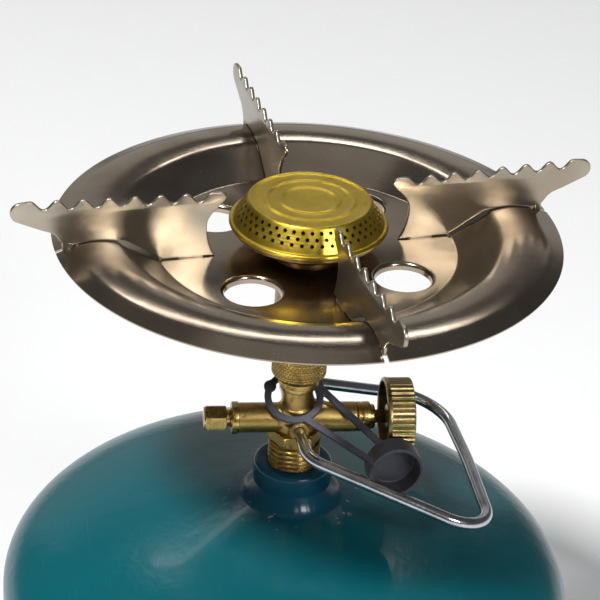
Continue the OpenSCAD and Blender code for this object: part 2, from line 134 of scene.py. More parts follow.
def lathe(profile, segments=160, closed=True, shape=None, start=0.0, skip=None):
    bm = bmesh.new()
    rings = []
    for r, z in profile:
        if r < 1e-6:
            rings.append([bm.verts.new((0, 0, z))])
            continue
        ring = []
        for s in range(segments):
            angle = start + 2 * math.pi * s / segments
            reach = shape(angle, r, z) if shape else r
            ring.append(bm.verts.new((reach * math.cos(angle), reach * math.sin(angle), z)))
        rings.append(ring)
    pairs = list(zip(rings, rings[1:]))
    if closed:
        pairs.append((rings[-1], rings[0]))
    for row, (low, high) in enumerate(pairs):
        for s in range(segments):
            if skip and skip(row, s):
                continue
            t = (s + 1) % segments
            corners = [low[s % len(low)], low[t % len(low)], high[t % len(high)], high[s % len(high)]]
            corners = list(dict.fromkeys(corners))
            if len(corners) > 2:
                bm.faces.new(corners)
    return bm


def prism(outline, thickness):
    bm = bmesh.new()
    count = len(outline)
    low = [bm.verts.new((x, y, 0)) for x, y in outline]
    high = [bm.verts.new((x, y, thickness)) for x, y in outline]
    bm.faces.new(low[::-1])
    bm.faces.new(high)
    for i in range(count):
        k = (i + 1) % count
        bm.faces.new((low[i], low[k], high[k], high[i]))
    return bm


def rod(radius, start, end):
    return lathe([(0, start), (radius, start), (radius, end), (0, end)], 64, closed=False)


def moved(bm, place):
    bmesh.ops.transform(bm, matrix=place, verts=bm.verts)
    return bm


def gather(whole, *parts):
    scratch = bpy.data.meshes.new("scratch")
    for part in parts:
        part.to_mesh(scratch)
        part.free()
        whole.from_mesh(scratch)
    bpy.data.meshes.remove(scratch)
    return whole


def meshObject(name, bm):
    mesh = bpy.data.meshes.new(name)
    bm.to_mesh(mesh)
    bm.free()
    obj = bpy.data.objects.new(name, mesh)
    scene.collection.objects.link(obj)
    return obj


def newObject(name, *parts):
    for part in parts:
        bmesh.ops.recalc_face_normals(part, faces=part.faces)
    return meshObject(name, gather(bmesh.new(), *parts))


def applied(obj):
    graph = bpy.context.evaluated_depsgraph_get()
    mesh = bpy.data.meshes.new_from_object(obj.evaluated_get(graph))
    obj.modifiers.clear()
    obj.data = mesh
    return obj


def cut(obj, *cutters):
    made = [newObject("cutter", bm) for bm in cutters]
    for cutter in made:
        modifier = obj.modifiers.new("cut", "BOOLEAN")
        modifier.object = cutter
        modifier.solver = "EXACT"
    applied(obj)
    for cutter in made:
        bpy.data.objects.remove(cutter)


def remeshed(obj, voxel, smoothing):
    modifier = obj.modifiers.new("skin", "REMESH")
    modifier.mode = "VOXEL"
    modifier.voxel_size = voxel
    modifier = obj.modifiers.new("smooth", "SMOOTH")
    modifier.iterations = smoothing
    modifier.factor = 0.5
    return applied(obj)


def settle(obj, place, finish, body, nodes=(), sharp=32):
    obj.data.transform(Matrix.Scale(mm, 4) @ place)
    obj.data.name = obj.name
    obj.data.materials.clear()
    obj.data.materials.append(finish.material)
    obj.data.shade_smooth()
    obj.data.set_sharp_from_angle(angle=math.radians(sharp))
    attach(obj, body)
    if nodes:
        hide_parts(*nodes)


# A shader socket that takes part in sums

class Tone:
    def __init__(self, finish, socket):
        self.finish = finish
        self.socket = socket

    def combine(self, operation, first, second):
        return self.finish.node("ShaderNodeMath", {"operation": operation}, {0: first, 1: second})

    def __add__(self, other):
        return self.combine("ADD", self, other)

    def __radd__(self, other):
        return self.combine("ADD", other, self)

    def __sub__(self, other):
        return self.combine("SUBTRACT", self, other)

    def __rsub__(self, other):
        return self.combine("SUBTRACT", other, self)

    def __mul__(self, other):
        return self.combine("MULTIPLY", self, other)

    def __pow__(self, other):
        return self.combine("POWER", self, other)


class Finish:
    def __init__(self, name, **uniform):
        self.material = bpy.data.materials.new(name)
        self.material.use_nodes = True
        self.tree = self.material.node_tree
        self.shader = self.tree.nodes["Principled BSDF"]
        for socket, value in uniform.items():
            self.feed(self.shader.inputs[socket.replace("_", " ")], value)

    def feed(self, socket, value):
        if isinstance(value, Tone):
            self.tree.links.new(value.socket, socket)
        else:
            socket.default_value = value

    def node(self, kind, settings=None, values=None, output=0):
        made = self.tree.nodes.new(kind)
        for key, value in (settings or {}).items():
            if key == "stops":
                ramp = made.color_ramp
                while len(ramp.elements) < len(value):
                    ramp.elements.new(0.5)
                for stop, (position, tint) in zip(ramp.elements, value):
                    stop.position = position
                    stop.color = tint
            else:
                setattr(made, key, value)
        for key, value in (values or {}).items():
            self.feed(made.inputs[key], value)
        return Tone(self, made.outputs[output])

    def place(self, stretch=(1, 1, 1)):
        here = self.node("ShaderNodeTexCoord", output="Object")
        return self.node("ShaderNodeVectorMath", {"operation": "MULTIPLY"}, {0: here, 1: stretch})

    def parts(self):
        here = self.node("ShaderNodeTexCoord", output="Object")
        return [self.node("ShaderNodeSeparateXYZ", None, {0: here}, axis) for axis in range(3)]

    def noise(self, scale, detail=3.0, stretch=(1, 1, 1), distortion=0.0):
        return self.node("ShaderNodeTexNoise", None, {
            "Vector": self.place(stretch), "Scale": scale, "Detail": detail,
            "Roughness": 0.55, "Distortion": distortion})

    def spun(self, scale, detail=2.0):
        # rings about the upright axis
        flat = self.place((1, 1, 0))
        reach = self.node("ShaderNodeVectorMath", {"operation": "LENGTH"}, {0: flat}, "Value")
        line = self.node("ShaderNodeCombineXYZ", None, {"X": reach})
        return self.node("ShaderNodeTexNoise", None, {"Vector": line, "Scale": scale, "Detail": detail})

    def band(self, tone, low, high, top=1.0):
        # 0 below low, top above high, smooth between
        return self.node("ShaderNodeMapRange", {"interpolation_type": "SMOOTHSTEP"}, {
            "Value": tone, "From Min": low, "From Max": high, "To Min": 0.0, "To Max": top})

    def mix(self, factor, first, second):
        settings = {"data_type": "RGBA", "blend_type": "MIX"}
        return self.node("ShaderNodeMix", settings, {0: factor, 6: first, 7: second}, 2)

    def drive(self, **tones):
        for socket, tone in tones.items():
            self.feed(self.shader.inputs[socket.replace("_", " ")], tone)

    def bump(self, height, distance):
        self.drive(Normal=self.node("ShaderNodeBump", None, {
            "Height": height, "Distance": distance, "Strength": 1.0}))


def colour(red, green, blue):
    return (red, green, blue, 1.0)


def enamelFinish():
    look = {
        "base": colour(0.001, 0.068, 0.088), "light": colour(0.002, 0.098, 0.115),
        # the "boss" tone is painted shade: a darker, bluer teal standing for the dish's shadow round the
        # boss
        "boss": colour(0.001, 0.038, 0.075), "scuff": colour(0.060, 0.150, 0.165),
        "primer": colour(0.240, 0.240, 0.200), "rough": 0.22}
    paint = Finish("tealEnamel", Metallic=0.0, Specular_IOR_Level=0.3, Coat_Weight=0.06, Coat_Roughness=0.05)
    x, y, z = paint.parts()
    reach = (x * x + y * y) ** 0.5
    # painted shade: within the boss's reach the top dome turns towards the "boss" tone, for the dish's
    # shadow
    shadeNearBoss = (1 - paint.band(reach, 0.017, 0.034)) * paint.band(z, 0.14, 0.15)
    cloud = paint.noise(9, 4)
    tint = paint.mix(cloud, look["base"], look["light"])
    tint = paint.mix(shadeNearBoss * 0.8, tint, look["boss"])
    rubbed = paint.band(paint.noise(60, 5, (1, 1, 0.4), 0.6), 0.60, 0.72)
    foot = paint.band(reach, 0.0185, 0.021) * (1 - paint.band(reach, 0.025, 0.030))
    foot = foot * paint.band(z, 0.14, 0.15)
    chips = paint.band(paint.noise(240, 3), 0.65, 0.69) * foot
    worn = rubbed * (foot * 0.5 + 0.04)
    tint = paint.mix(worn, tint, look["scuff"])
    tint = paint.mix(chips, tint, look["primer"])
    lines = paint.band(paint.noise(1, 2, (900, 30, 60), 0.3), 0.68, 0.74) * paint.band(cloud, 0.5, 0.6)
    paint.drive(
        Base_Color=paint.mix(lines * 0.12, tint, look["scuff"]),
        Roughness=look["rough"] + worn * 0.25 + chips * 0.3 + lines * 0.1 + paint.noise(40, 3) * 0.06)
    peel = paint.noise(420, 2) * 0.35 + paint.noise(120, 2) - chips * 0.8
    paint.bump(peel, 0.00022)
    return paint


def brassFinish(name, low, high, patina, rough, grain, turnedAlong=None, spots=0.5):
    metal = Finish(name, Metallic=1.0)
    cloud = metal.noise(70, 4)
    stain = metal.band(metal.noise(190, 5, (1, 1, 1), 0.4), 0.50, 0.70, spots)
    tint = metal.mix(metal.band(cloud, 0.35, 0.65), colour(*low), colour(*high))
    metal.drive(
        Base_Color=metal.mix(stain, tint, colour(*patina)),
        Roughness=rough + stain * 0.25 + metal.noise(300, 3) * 0.08)
    height = metal.noise(1500, 3) * grain
    if turnedAlong == "spun":
        height = height + metal.spun(2600, 1) * 0.5
    elif turnedAlong:
        height = height + metal.noise(1, 1, turnedAlong) * 0.6
    metal.bump(height, 0.00010)
    return metal


def nickelFinish(name, low, high, tint, rough, spun):
    metal = Finish(name, Metallic=1.0)
    cloud = metal.noise(16, 3)
    heat = metal.band(metal.noise(30, 2, (1, 1, 1), 0.5), 0.50, 0.72)
    shade = metal.mix(metal.band(cloud, 0.35, 0.65), colour(*low), colour(*high))
    shade = metal.mix(heat * 0.5, shade, colour(*tint))
    specks = metal.band(metal.noise(900, 4), 0.62, 0.72)
    drawn = metal.spun(1400, 2) if spun else metal.noise(260, 3)
    metal.drive(
        Base_Color=metal.mix(specks * 0.15, shade, colour(0.10, 0.08, 0.06)),
        Roughness=rough + drawn * 0.06 + metal.noise(55, 3) * 0.07 + specks * 0.10)
    waves = metal.noise(22, 1) * 3.0 + metal.noise(90, 2) * 0.3
    metal.bump(waves + drawn * 0.04 + metal.noise(1900, 2) * 0.05, 0.00018)
    return metal


def zincFinish():
    metal = Finish("brightZinc", Metallic=1.0)
    smear = metal.noise(45, 3)
    bright, dull = colour(0.52, 0.53, 0.55), colour(0.36, 0.36, 0.38)
    metal.drive(
        Base_Color=metal.mix(metal.band(smear, 0.4, 0.7), bright, dull),
        Roughness=0.15 + metal.noise(160, 4) * 0.14)
    metal.bump(metal.noise(700, 2) * 0.4 + metal.noise(60, 2), 0.00014)
    return metal


def passivatedFinish():
    metal = Finish("yellowPassivated", Metallic=1.0)
    streak = metal.noise(1, 2, (40, 420, 420), 0.8)
    tint = metal.node("ShaderNodeValToRGB", {"stops": [
        (0.30, colour(0.22, 0.21, 0.06)), (0.43, colour(0.40, 0.35, 0.11)),
        (0.52, colour(0.37, 0.21, 0.14)), (0.60, colour(0.21, 0.26, 0.09)),
        (0.70, colour(0.42, 0.35, 0.14))]}, {"Fac": streak})
    grime = metal.band(metal.noise(200, 5), 0.55, 0.7, 0.5)
    metal.drive(
        Base_Color=metal.mix(grime, tint, colour(0.14, 0.12, 0.05)),
        Roughness=0.24 + grime * 0.3 + streak * 0.1)
    metal.bump(metal.noise(900, 3), 0.00008)
    return metal


def rubberFinish(name, low, high, rough, scale):
    soft = Finish(name, Metallic=0.0, Sheen_Weight=0.15, Sheen_Roughness=0.4)
    cloud = soft.noise(80, 4)
    dust = soft.band(soft.noise(400, 5), 0.56, 0.72)
    tint = soft.mix(soft.band(cloud, 0.35, 0.65), colour(*low), colour(*high))
    soft.drive(
        Base_Color=soft.mix(dust * 0.25, tint, colour(*(min(1, c * 2.2) for c in high))),
        Roughness=rough + dust * 0.15 + soft.noise(900, 2) * 0.08)
    soft.bump(soft.noise(scale, 3) + soft.noise(120, 2), 0.00012)
    return soft


enamel = enamelFinish()
castBrass = brassFinish(
    "castBrass", (0.36, 0.24, 0.075), (0.50, 0.35, 0.12), (0.12, 0.075, 0.03), 0.32, 1.0, None, 0.7)
turnedBrassX = brassFinish(
    "turnedBrassAcross", (0.44, 0.30, 0.10), (0.58, 0.41, 0.15), (0.15, 0.09, 0.04),
    0.22, 0.3, (2200, 8, 8), 0.5)
# turned brass with upright turning marks, darkened as painted shade for the upright parts beneath the dish
shadedTurnedBrass = brassFinish(
    "turnedBrassUprightShaded", (0.34, 0.225, 0.065), (0.45, 0.31, 0.10), (0.09, 0.06, 0.02),
    0.24, 0.3, (8, 8, 2200), 0.7)
# heat-tinted brass for the burner bowl and mixing pipe, darkened further as painted shade for the shadow
# under the cap
shadedDarkBrass = brassFinish(
    "shadedDarkBrass", (0.22, 0.15, 0.07), (0.34, 0.23, 0.10), (0.07, 0.05, 0.03),
    0.32, 0.8, (8, 8, 1800), 0.7)
capBrass = brassFinish(
    "brightBrass", (0.53, 0.37, 0.038), (0.63, 0.45, 0.055), (0.32, 0.21, 0.03),
    0.27, 0.4, "spun", 0.35)
dishNickel = nickelFinish(
    "dishNickel", (0.32, 0.26, 0.195), (0.40, 0.335, 0.265), (0.25, 0.185, 0.15), 0.11, True)
bladeNickel = nickelFinish(
    "bladeNickel", (0.34, 0.30, 0.24), (0.42, 0.38, 0.31), (0.30, 0.24, 0.17), 0.24, False)
zinc = zincFinish()
passivated = passivatedFinish()
greyRubber = rubberFinish("greyRubber", (0.034, 0.034, 0.046), (0.054, 0.054, 0.072), 0.50, 700)
blackRubber = rubberFinish("blackRubber", (0.012, 0.012, 0.013), (0.022, 0.022, 0.023), 0.50, 900)
sealPlastic = rubberFinish("sealPlastic", (0.62, 0.62, 0.58), (0.72, 0.72, 0.68), 0.40, 900)
springSteel = brassFinish(
    "springSteel", (0.42, 0.42, 0.43), (0.52, 0.52, 0.53), (0.20, 0.17, 0.14), 0.25, 0.3, (900, 40, 40), 0.3)
print("finishes ready")


# The cylinder's plain wall and the rise of each of its domes
tankWall, tankDome = 54.0, 43.0


def neckLift(r):
    # rise of the dome towards its boss
    return 9.0 * max(0, 1 - r / 55.0) ** 2


def buildCylinder():
    tank = {"sheet": 2.0, "holeR": 16.34, "weldProud": 1.05, "weldHalf": 3.2,
            "footR": 90.0, "footWall": 2.5, "curlR": 3.0, "segments": 224}
    innerR, innerDome, holeR = cylinderR - tank["sheet"], tankDome - tank["sheet"], tank["holeR"]

    def domeLine(radius, height, firstR, neck=0.0, steps=64):
        start = math.asin(firstR / radius)
        line = []
        for i in range(steps + 1):
            angle = start + (quarter - start) * i / steps
            r = radius * math.sin(angle)
            line.append((r, height * math.cos(angle) + neck * neckLift(r)))
        return line

    half = tankWall / 2
    outer = domeLine(cylinderR, tankDome, holeR, 1.0) + [(cylinderR, -half)]
    inner = domeLine(innerR, innerDome, holeR, 1.0) + [(innerR, -half)]
    top = newObject("dome_and_wall_upper", lathe(outer + inner[::-1], tank["segments"]))
    settle(top, shift(0, 0, girthZ + half), enamel, "bottle", ["cylinder_upper_shell"])

    outer = domeLine(cylinderR, tankDome, 0.0) + [(cylinderR, 0.02 - half)]
    inner = domeLine(innerR, innerDome, 0.0) + [(innerR, 0.02 - half)]
    bottom = newObject("dome_and_wall_lower", lathe(outer + inner[::-1], tank["segments"], closed=False))
    flip = shift(0, 0, girthZ - half) @ Matrix.Scale(-1, 4, (0, 0, 1))
    settle(bottom, flip, enamel, "bottle", ["cylinder_lower_shell"])
    bottom.data.flip_normals()

    def ripple(angle, r, z):
        proud = r - cylinderR
        wave = 0.80 + 0.12 * math.sin(angle * 236 + z) + 0.08 * math.sin(angle * 17)
        return cylinderR + proud * wave

    bead = [(cylinderR + 0.02 + tank["weldProud"] * math.cos(math.radians(a)),
             tank["weldHalf"] * math.sin(math.radians(a))) for a in range(-90, 91, 15)]
    weld = newObject("girth_weld_bead", lathe(bead, 960, shape=ripple))
    settle(weld, shift(0, 0, girthZ), enamel, "bottle", ["cylinder_girth_weld"], 60)

    def underside(r):
        return girthZ - half - tankDome * math.sqrt(1 - (r / cylinderR) ** 2)

    footIn = tank["footR"] - tank["footWall"]
    curl = (tank["footR"] - 0.5, tank["curlR"] - 0.4)
    outline = [(footIn, underside(footIn) - 0.4), (footIn, 5.4)]
    outline += arc(curl, tank["curlR"], 140, 240, 10) + [(curl[0] - 1.2, 0.01), (curl[0] + 1.2, 0.01)]
    outline += arc(curl, tank["curlR"], -60, 60, 12)
    outline += [(tank["footR"], 6.4), (tank["footR"], underside(tank["footR"]) - 0.4)]
    foot = newObject("rolled_foot_ring", lathe(outline, tank["segments"]))
    settle(foot, Matrix(), enamel, "bottle", ["foot_ring"], 40)


def buildBoss():
    boss = {"r": 16.3, "bore": 10.72, "below": 26.9, "edge": 1.9, "flare": 5.5, "segments": 160}
    corners = [(boss["bore"], bossTop - boss["below"]), (boss["r"], bossTop - boss["below"]),
               (boss["r"], bossTop), (boss["bore"], bossTop)]
    outline = roundCorners(corners, [0, 0, boss["edge"], 0.8], 8)
    ring = newObject("threaded_boss", lathe(outline, boss["segments"]))
    settle(ring, Matrix(), enamel, "bottle", ["valve_boss"], 40)

    def dome(r):
        return girthZ + tankWall / 2 + tankDome * math.sqrt(1 - (r / cylinderR) ** 2) + neckLift(r)

    steps = 14
    inner, outer = boss["r"] + 0.02, boss["r"] + 0.02 + boss["flare"]
    slope = []
    for i in range(steps + 1):
        r = inner + boss["flare"] * i / steps
        slope.append((r, dome(r) + 0.02 + boss["flare"] * (1 - i / steps) ** 2))
    under = [(outer - boss["flare"] * i / steps, dome(outer - boss["flare"] * i / steps) + 0.01)
             for i in range(steps + 1)]

    def ripple(angle, r, z):
        share = (r - inner) / boss["flare"]
        wave = 0.03 * math.sin(angle * 34 + 3 * math.sin(angle * 5)) + 0.06 * math.sin(angle * 7)
        return r - abs(wave) * math.sin(math.pi * min(1, max(0, share)))

    fillet = newObject("boss_weld_fillet", lathe(slope + under[:-1], 320, shape=ripple))
    settle(fillet, Matrix(), enamel, "bottle", ["boss_weld"], 70)


def hexReach(angle, corner):
    return corner * math.cos(math.pi / 6) / math.cos(angle % (math.pi / 3) - math.pi / 6)


def hexRows(low, high, corner, chamfer):
    rows = []
    for i in range(5):
        rows.append((corner - chamfer * 1.7 * (1 - i / 4), low + chamfer * i / 4))
    return rows + [(r, high + low - z) for r, z in rows[::-1]]


def hexOnly(low, high, corner):
    def shape(angle, r, z):
        if low - 1e-6 <= z <= high + 1e-6:
            return min(r, hexReach(angle, corner))
        return r
    return shape


def threadRows(radius, low, high, pitch, perTurn=10):
    count = max(2, round((high - low) / pitch * perTurn))
    return [(radius, low + (high - low) * i / count) for i in range(count + 1)]


def threaded(radius, low, high, pitch, depth):
    def shape(angle, r, z):
        if abs(r - radius) > 1e-6 or not low <= z <= high:
            return r
        share = (z / pitch - angle / (2 * math.pi)) % 1
        crest = min(1.0, 2.4 * abs(share - 0.5))
        fade = min(1, (z - low) / 0.6, (high - z) / 0.6)
        return r - depth * (1 - crest) * fade
    return shape


# The pivot of the carrying handle, below the valve's cross axis and turned from it
pivotZ, pivotTurn = -1.5, 4.0


def buildValve():
    valve = {"armR": 6.2, "reliefArm": 26.7, "spindleArm": 25.0, "neckR": 6.4, "collarR": 7.4,
             "collarZ": 14.8, "threadZ": 17.0, "outletZ": 27.3, "outletR": 6.9, "outletPitch": 1.5,
             "hexZ": -4.4, "hexH": 5.2, "hexR": 11.5, "stemR": 10.7, "stemPitch": 2.2, "waistR": 8.5,
             "coreR": 7.2, "passageR": 2.0, "reliefBore": 4.1, "spindleBore": 3.05, "packingBore": 4.6,
             "pinBore": 2.55, "pivotR": 4.3, "pivotHalf": 9.3, "voxel": 0.42}
    across, pin = turn(90, "Y"), shift(0, 0, pivotZ) @ turn(pivotTurn, "Z")
    web = [(0, 0), (17, 4.5), (11.5, 7), (7.4, 8.1), (5.6, 14.3), (0, 14.3)]
    brow = [(-13, 4.5), (0, 8.1), (0, 0), (-13, 0)]
    parts = [
        moved(rod(valve["armR"], -valve["reliefArm"] + 0.5, valve["spindleArm"]), across),
        moved(prism(web, 4), shift(0, 2, 0) @ turn(90, "X")),
        moved(prism(brow[::-1], 3), shift(0, 1.5, 0) @ turn(90, "X")),
        rod(valve["waistR"], valve["hexZ"] - 0.5, 0),
        rod(valve["coreR"], valve["hexZ"], 6.5),
        rod(valve["neckR"], 0, valve["collarZ"] + 0.5),
        moved(rod(valve["pivotR"], -valve["pivotHalf"], valve["pivotHalf"]), pin @ turn(90, "X"))]
    body = remeshed(newObject("valve_casting", *parts), valve["voxel"], 5)
    cut(body,
        moved(rod(valve["reliefBore"], -valve["reliefArm"] - 1, -8), across),
        moved(rod(valve["spindleBore"], 8, 30), across),
        moved(rod(valve["packingBore"], 18, 30), across),
        moved(rod(valve["pinBore"], 3.3, 14), pin @ turn(90, "X")),
        moved(rod(valve["pinBore"], 3.3, 14), pin @ turn(-90, "X")))
    settle(body, atValve, castBrass, "bottle", ["valve_body"], 38)

    ringR, ringBore, armEnd = valve["armR"] + 0.5, valve["reliefBore"], -valve["reliefArm"]
    corners = [(ringBore, armEnd), (ringR, armEnd), (ringR, armEnd + 3.0), (5.6, armEnd + 3.0),
               (5.6, armEnd + 1.8), (ringBore, armEnd + 1.8)]
    ring = newObject("relief_arm_collar", lathe(roundCorners(corners, [0.2, 0.6, 0.5, 0, 0, 0], 5), 128))
    settle(ring, alongX, turnedBrassX, "bottle")

    low, high = valve["hexZ"] - valve["hexH"], valve["hexZ"]
    inR = valve["passageR"]
    rows = [(inR, low)] + hexRows(low, high, valve["hexR"], 0.7) + [(inR, high)]
    hexagon = newObject("valve_hex", lathe(rows, 192, shape=hexOnly(low, high, valve["hexR"])))
    settle(hexagon, atValve, shadedTurnedBrass, "bottle")

    low, high = bossTop - valveZ - 12, valve["hexZ"] - valve["hexH"] + 0.01
    rows = [(inR, low)] + threadRows(valve["stemR"], low, high, valve["stemPitch"], 20) + [(inR, high)]
    shape = threaded(valve["stemR"], low, high, valve["stemPitch"], 1.0)
    stem = newObject("valve_stem_thread", lathe(rows, 180, shape=shape))
    settle(stem, atValve, shadedTurnedBrass, "bottle", sharp=75)

    foot, low, high = valve["collarZ"], valve["threadZ"], valve["outletZ"]
    corners = [(5.4, foot), (valve["collarR"], foot), (valve["collarR"], low), (valve["outletR"], low)]
    rows = [(inR, foot)] + roundCorners(corners, [0, 0.6, 0.4, 0], 4)
    low += 0.01
    rows += threadRows(valve["outletR"], low, high, valve["outletPitch"]) + [(inR, high)]
    shape = threaded(valve["outletR"], low, high, valve["outletPitch"], 0.6)
    outlet = newObject("outlet_collar_and_thread", lathe(rows, 128, shape=shape))
    settle(outlet, atValve, shadedTurnedBrass, "bottle", sharp=50)


def buildValveFittings():
    nut = {"hexLow": -37.4, "hexHigh": -28.8, "corner": 5.6, "discR": 4.6, "end": -38.0, "vent": 1.2,
           "shankR": 4.08, "waistR": 3.38, "shankEnd": -22.1}
    discR, end = nut["discR"], nut["end"]
    rows = [(nut["vent"], end), (discR - 0.7, end), (discR - 0.15, end + 0.1), (discR, end + 0.35),
            (discR, nut["hexLow"] - 0.01)]
    rows += hexRows(nut["hexLow"], nut["hexHigh"], nut["corner"], 0.5)
    rows += [(nut["waistR"], nut["hexHigh"] + 0.01), (nut["waistR"], -27.4), (nut["shankR"], -27.0),
             (nut["shankR"], nut["shankEnd"] - 0.3), (nut["shankR"] - 0.3, nut["shankEnd"]),
             (nut["vent"], nut["shankEnd"])]
    shape = hexOnly(nut["hexLow"], nut["hexHigh"], nut["corner"])
    cap = newObject("relief_outlet_nut", lathe(rows, 144, shape=shape))
    settle(cap, alongX, turnedBrassX, "bottle", ["relief_cap_nut"])

    gland = {"flangeR": 6.2, "start": 25.02, "shoulder": 30.5, "noseR": 5.1, "end": 32.5, "threadR": 4.58,
             "threadEnd": 21.5, "bore": 2.85, "groove": 27.0}
    bore, flangeR, noseR, groove = gland["bore"], gland["flangeR"], gland["noseR"], gland["groove"]
    corners = [(bore, gland["threadEnd"]), (gland["threadR"], gland["threadEnd"]),
               (gland["threadR"], gland["start"]), (flangeR, gland["start"]), (flangeR, groove - 0.4),
               (flangeR - 0.5, groove), (flangeR, groove + 0.4), (flangeR, gland["shoulder"]),
               (noseR, gland["shoulder"]), (noseR, gland["end"]), (bore, gland["end"])]
    rows = roundCorners(corners, [0, 0.2, 0, 0.4, 0.2, 0.2, 0.2, 1.3, 0.2, 1.0, 0.2], 5)
    turned = newObject("spindle_gland", lathe(rows, 128))
    settle(turned, alongX, turnedBrassX, "bottle", ["gland_nut"])

    spindle = {"start": 9.24, "headR": 3.0, "headEnd": 16.04, "rodR": 2.8, "end": 43.6}
    corners = [(0, spindle["start"]), (spindle["headR"], spindle["start"]),
               (spindle["headR"], spindle["headEnd"]), (spindle["rodR"], spindle["headEnd"]),
               (spindle["rodR"], spindle["end"]), (0, spindle["end"])]
    rows = roundCorners(corners, [0, 0.4, 0.2, 0.1, 0.5, 0], 4, closed=False)
    stick = newObject("valve_spindle", lathe(rows, 96, closed=False))
    settle(stick, alongX, turnedBrassX, "knob_and_spindle", ["spindle"])


def buildKnob():
    knob = {"back": 36.1, "front": 47.6, "r": 16.0, "wall": 1.8, "faceIn": 43.6, "faceOut": 46.1, "hub": 5.0,
            "hubBack": 37.6, "bore": 2.82, "screwBore": 1.32, "seatR": 6.4, "lip": 1.8, "lipR": 16.2,
            "grooves": 40, "depth": 0.62, "perGroove": 12, "edge": 0.9}
    inner = knob["r"] - knob["wall"]
    lipEnd = knob["back"] + knob["lip"]
    corners = [
        (knob["bore"], knob["hubBack"]), (knob["hub"], knob["hubBack"]),
        (knob["hub"], knob["faceIn"]), (inner, knob["faceIn"]),
        (inner, knob["back"]), (knob["lipR"], knob["back"]), (knob["lipR"], lipEnd), (knob["r"], lipEnd),
        (knob["r"], knob["front"]), (inner, knob["front"]), (inner, knob["faceOut"]),
        (knob["seatR"], knob["faceOut"]), (knob["seatR"] - 0.5, knob["faceOut"] - 0.5),
        (knob["screwBore"], knob["faceOut"] - 0.5), (knob["screwBore"], knob["faceIn"]),
        (knob["bore"], knob["faceIn"])]
    bends = [0.2, 0.5, 0.8, 1.2, 0.5, 0.7, 0.7, 0.1, 1.2, 0.6, 1.0, 0.3, 0.3, 0, 0, 0]
    rows = roundCorners(corners, bends, 6)

    def ribbed(angle, r, z):
        if r < knob["r"] - knob["edge"] or z < lipEnd - 0.01:
            return r
        share = (angle * knob["grooves"] / (2 * math.pi)) % 1
        dip = max(0, 1 - abs(share - 0.5) / 0.30)
        fade = min(1, (r - knob["r"] + knob["edge"]) / knob["edge"])
        return r - knob["depth"] * dip * dip * (3 - 2 * dip) * fade

    wheel = newObject("ribbed_knob", lathe(rows, knob["grooves"] * knob["perGroove"], shape=ribbed))
    settle(wheel, alongX, passivated, "knob_and_spindle", ["knob"], 50)


def wireTube(path, radius, sides=28):
    bm = bmesh.new()
    ends = [(0.0, 0.62), (0.22, 0.88), (0.6, 1.0)]
    count = len(path)
    stations = []
    for i, point in enumerate(path):
        here = Vector(point)
        tangent = (Vector(path[min(i + 1, count - 1)]) - Vector(path[max(i - 1, 0)])).normalized()
        if i in (0, count - 1):
            order = ends if i == 0 else ends[::-1]
            sign = 1 if i == 0 else -1
            for run, share in order:
                stations.append((here + tangent * run * sign, tangent, radius * share))
        else:
            stations.append((here, tangent, radius))
    rings = []
    for here, tangent, r in stations:
        side = Vector((-tangent.y, tangent.x))
        ring = []
        for k in range(sides):
            angle = 2 * math.pi * k / sides
            flat = here + side * r * math.cos(angle)
            ring.append(bm.verts.new((flat.x, flat.y, r * math.sin(angle))))
        rings.append(ring)
    for low, high in zip(rings, rings[1:]):
        for k in range(sides):
            n = (k + 1) % sides
            bm.faces.new((low[k], low[n], high[n], high[k]))
    bm.faces.new(rings[0])
    bm.faces.new(rings[-1])
    return bm


def buildBail():
    bail = {"wireR": 2.5, "pinIn": 3.6, "reach": 79.2, "bow": 2.4, "drop": 18.0,
            "front": (28.8, 20.9, 16.0), "back": (32.5, 11.7, 18.0), "bend": 9.0}
    frontStart, frontSplay, frontBend = bail["front"]
    backStart, backSplay, backBend = bail["back"]
    frontReach, backReach = bail["reach"] - bail["bow"], bail["reach"] - bail["bow"] / 2
    corners = [(0, -bail["pinIn"]), (0, -frontStart),
               (frontReach, -frontStart - frontReach * math.tan(math.radians(frontSplay))),
               (bail["reach"], 0),
               (backReach, backStart + bail["reach"] * math.tan(math.radians(backSplay))),
               (0, backStart), (0, bail["pinIn"])]
    bends = [0, bail["bend"], frontBend, 200.0, backBend, bail["bend"], 0]
    path = roundCorners(corners, bends, 16, closed=False)
    wire = newObject("carrying_handle_wire", wireTube(path, bail["wireR"]))
    place = shift(0, 0, valveZ + pivotZ) @ turn(pivotTurn, "Z") @ turn(bail["drop"], "Y")
    settle(wire, place, zinc, "bail", ["carrying_bail"], 50)


def strip(start, end, width):
    a, b = Vector(start), Vector(end)
    side = Vector((a.y - b.y, b.x - a.x)).normalized() * width / 2
    return [tuple(a - side), tuple(b - side), tuple(b + side), tuple(a + side)]


